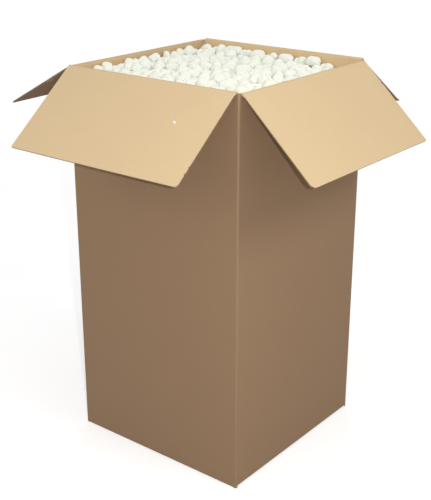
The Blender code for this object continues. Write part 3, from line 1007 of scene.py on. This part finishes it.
def settle(seed):
    """Centres, directions and sizes of the settled peanuts, those on the skyline first."""
    rng = np.random.default_rng(seed)
    fixed_centre, fixed_way, fixed_size = skyline()
    fixed = len(fixed_size)
    centre, way, size, own = loose_peanuts(rng)
    centre, way = np.vstack((fixed_centre, centre)), np.vstack((fixed_way, way))
    girth = PEANUT_RADIUS * np.concatenate((fixed_size, size))
    stretch = girth / PEANUT_RADIUS
    stretch[fixed:] *= 1 + rng.uniform(-LENGTH_SPREAD, LENGTH_SPREAD, len(size))
    reach = (BALL_GAP * stretch)[:, None]
    radius = np.repeat(girth, 3)
    core = radius * SOFTNESS
    owner = np.repeat(np.arange(len(girth)), 3)
    own = np.repeat(np.concatenate((np.zeros(fixed), own)), 3)
    room = (FILL_ROOM - radius)[:, None]
    for step in range(ROUNDS):
        balls = np.stack((centre - way * reach, centre, centre + way * reach), axis=1).reshape(-1, 3)
        if step % LIST_ROUNDS == 0:
            apart = np.linalg.norm(balls[:, None] - balls[None], axis=2)
            close = apart < core[:, None] + core[None] + CLOSE
            first, second = np.nonzero(np.triu(close, 1) & (owner[:, None] != owner[None]))
        balls[:, 2] -= SINK_EARLY if step < ROUNDS * EARLY else SINK_LATE
        for _ in range(PUSH_TURNS):
            gap = balls[second] - balls[first]
            length = np.linalg.norm(gap, axis=1) + 1e-9
            push = np.clip(core[first] + core[second] - length, 0, None) / length * PUSH
            np.add.at(balls, first, -gap * push[:, None])
            np.add.at(balls, second, gap * push[:, None])
            balls[:, :2] = np.clip(balls[:, :2], -room, room)
            balls[:, 2] = np.clip(balls[:, 2], BED_LEVEL + radius, ceiling(balls, radius, own))
        rows_of_three = balls.reshape(-1, 3, 3)
        centre = rows_of_three.mean(axis=1)
        way = rows_of_three[:, 2] - rows_of_three[:, 0]
        way /= np.linalg.norm(way, axis=1, keepdims=True)
        centre[:fixed], way[:fixed] = fixed_centre, fixed_way
    return centre, way, girth, stretch * PEANUT_LENGTH


heap = settle(11)
print("peanuts:", len(heap[0]), "highest centre", round(float(heap[0][:, 2].max()), 4))

# %% [markdown]
# The heap is made as two pieces, left and right, because the two side flaps close over it one by
# one. Below the visible layers the fill is one plain block that nobody sees.

# %% The heap
TINT_MOST = 0.55
BED_ROUND = 0.005             # rounding of the hidden block's edges


def placed_peanut(rng, place, way, girth, length):
    """One peanut where it settled, with a tint of its own."""
    bm = peanut(rng, girth, length)
    tint = bm.verts.layers.float.new("tint")
    shade = rng.uniform(0.0, TINT_MOST)
    for vert in bm.verts:
        vert[tint] = shade
    bm.transform(Matrix.Translation(place) @ Vector(way).to_track_quat('Z', 'Y').to_matrix().to_4x4()
                 @ Matrix.Rotation(rng.uniform(0, 2 * math.pi), 4, 'Z'))
    return bm


def make_heap(name, chosen):
    rng = random.Random(name)
    bm = join([placed_peanut(rng, *one) for one in chosen])
    half = make_piece(name, bm, (white_foam,), "carton")
    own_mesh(half)
    return half


settled = [(Vector(place), way, girth, length) for place, way, girth, length in zip(*heap)]
left_heap = make_heap("peanuts_left", [one for one in settled if one[0].x < 0])
right_heap = make_heap("peanuts_right", [one for one in settled if one[0].x >= 0])


def make_bed():
    """The rest of the fill, which the heap hides."""
    low = Vector((-FILL_ROOM, -FILL_ROOM, NESTING + BOARD + SHEET_GAP))
    high = Vector((FILL_ROOM, FILL_ROOM, BED_LEVEL))
    bm = bmesh.new()
    bmesh.ops.create_cube(bm, size=1)
    bm.transform(Matrix.Translation((low + high) / 2) @ Matrix.Diagonal((*(high - low), 1)))
    bmesh.ops.bevel(bm, geom=bm.edges[:], offset=BED_ROUND, segments=3, profile=0.5,
                    affect='EDGES', material=-1)
    return make_piece("fill_below", bm, (white_foam,), "carton")


bed = make_bed()
for piece in (left_heap, right_heap, bed):
    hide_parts("chip_fill")

# %% [markdown]
# ## Stage, light and camera
#
# The photograph is a cut-out on pure white. A pale floor catches a soft shadow, and both it and the
# world show plain white to the camera through Light Path, so the white costs no extra light on the
# board. The lamps reach the floor less far from the carton, so more white is added there, and only
# as much of it near the carton that the soft shadow still shows.

# %% Floor and world
FLOOR_SIZE = 30.0
NEAR_WHITE, FAR_WHITE = 0.455, 0.63     # white added to what the lamps give the floor
NEAR, FAR = 2.2, 4.8                    # distances from the carton where each applies
FLOOR_SHADE, FLOOR_BOUNCE = 0.86, 0.40  # as the camera sees it, and as it lights the carton
WORLD_LIGHT = 0.435


def grey(shade):
    return (shade, shade, shade, 1)


def white_to_camera(tree):
    """1 for rays that should meet plain white, and 0 for those that carry light."""
    rays = add(tree, "LightPath")
    shine = add(tree, "Math", {0: rays["Is Glossy Ray"], 1: rays["Is Transmission Ray"]},
                operation='MAXIMUM')[0]
    return add(tree, "Math", {0: rays["Is Camera Ray"], 1: shine}, operation='MAXIMUM')[0]


def make_floor():
    bm = bmesh.new()
    bmesh.ops.create_grid(bm, x_segments=1, y_segments=1, size=FLOOR_SIZE)
    mesh = bpy.data.meshes.new("floor")
    bm.to_mesh(mesh)
    bm.free()
    floor = bpy.data.objects.new("floor", mesh)
    bpy.context.scene.collection.objects.link(floor)
    material = bpy.data.materials.new("pale_floor")
    material.use_nodes = True
    tree = material.node_tree
    tree.nodes.clear()
    seen = white_to_camera(tree)
    matt = add(tree, "BsdfDiffuse", {"Color": grey(FLOOR_SHADE)})[0]
    darker = add(tree, "BsdfDiffuse", {"Color": grey(FLOOR_BOUNCE)})[0]
    place = add(tree, "TexCoord")["Object"]
    away = add(tree, "VectorMath", {0: place}, operation='LENGTH')["Value"]
    strength = add(tree, "MapRange", {"Value": away, 1: NEAR, 2: FAR, 3: NEAR_WHITE, 4: FAR_WHITE},
                   interpolation_type='SMOOTHSTEP')[0]
    white = add(tree, "Emission", {"Color": grey(1), "Strength": strength})[0]
    shown = add(tree, "AddShader", {0: matt, 1: white})[0]
    both = add(tree, "MixShader", {0: seen, 1: darker, 2: shown})[0]
    add(tree, "OutputMaterial", {"Surface": both})
    mesh.materials.append(material)


def make_world():
    world = bpy.data.worlds.new("studio")
    bpy.context.scene.world = world
    world.use_nodes = True
    tree = world.node_tree
    tree.nodes.clear()
    seen = white_to_camera(tree)
    light = add(tree, "Background", {"Color": grey(1), "Strength": WORLD_LIGHT})[0]
    white = add(tree, "Background", {"Color": grey(1), "Strength": 1.0})[0]
    both = add(tree, "MixShader", {0: seen, 1: light, 2: white})[0]
    add(tree, "OutputWorld", {"Surface": both})


make_floor()
make_world()

# %% [markdown]
# The photograph was taken with a flash a hand's width to the right of the lens. It leaves the thin
# dark line along the right flap's near edge. The other lamps are large and soft, so they only fill in
# the shadows, and one stands behind so that the back isn't dark in other views.

# %% Lamps
Lamp = namedtuple("Lamp", "name place aim size power")
LAMPS = (
    Lamp("flash", (1.803, -2.141, 1.664), (0, 0, 0.75), 0.03, 30.5),
    Lamp("overhead", (0.3, -0.5, 3.6), (0, 0, 1.0), 2.4, 9),
    Lamp("left_front", (-1.9, -2.6, 2.2), (0, 0, 0.8), 1.2, 12.5),
    Lamp("right_high", (2.6, 0.2, 2.9), (0, 0, 0.8), 1.0, 23),
    Lamp("behind", (-1.9, 2.4, 2.6), (0, 0, 0.8), 1.4, 10),
)


def make_lamp(lamp):
    light = bpy.data.lights.new(lamp.name, 'AREA')
    light.size = lamp.size
    light.energy = lamp.power
    made = bpy.data.objects.new(lamp.name, light)
    made.location = lamp.place
    made.rotation_euler = (Vector(lamp.aim) - made.location).to_track_quat('-Z', 'Y').to_euler()
    bpy.context.scene.collection.objects.link(made)


for lamp in LAMPS:
    make_lamp(lamp)
bpy.context.scene.view_settings.view_transform = 'Standard'

# %% [markdown]
# The camera was found by fitting a box of the carton's proportions to the photograph's corners. It
# stands at a person's eye height, a little over two metres away, and looks down by 21 degrees.

# %% Camera
CAMERA_PLACE = (1.7358, -2.2010, 1.6496)
LOOK_DOWN = math.radians(21.05)
LOOK_LEFT = math.radians(38.45)
PHOTO_HEIGHT = 500            # pixels
FOCAL_PIXELS = 983.5
SENSOR = 36                   # millimetres

camera = bpy.data.objects.new("camera", bpy.data.cameras.new("camera"))
camera.data.sensor_width = SENSOR
camera.data.lens = SENSOR * FOCAL_PIXELS / PHOTO_HEIGHT
camera.location = CAMERA_PLACE
camera.rotation_euler = (math.pi / 2 - LOOK_DOWN, 0, LOOK_LEFT)
bpy.context.scene.collection.objects.link(camera)
bpy.context.scene.camera = camera
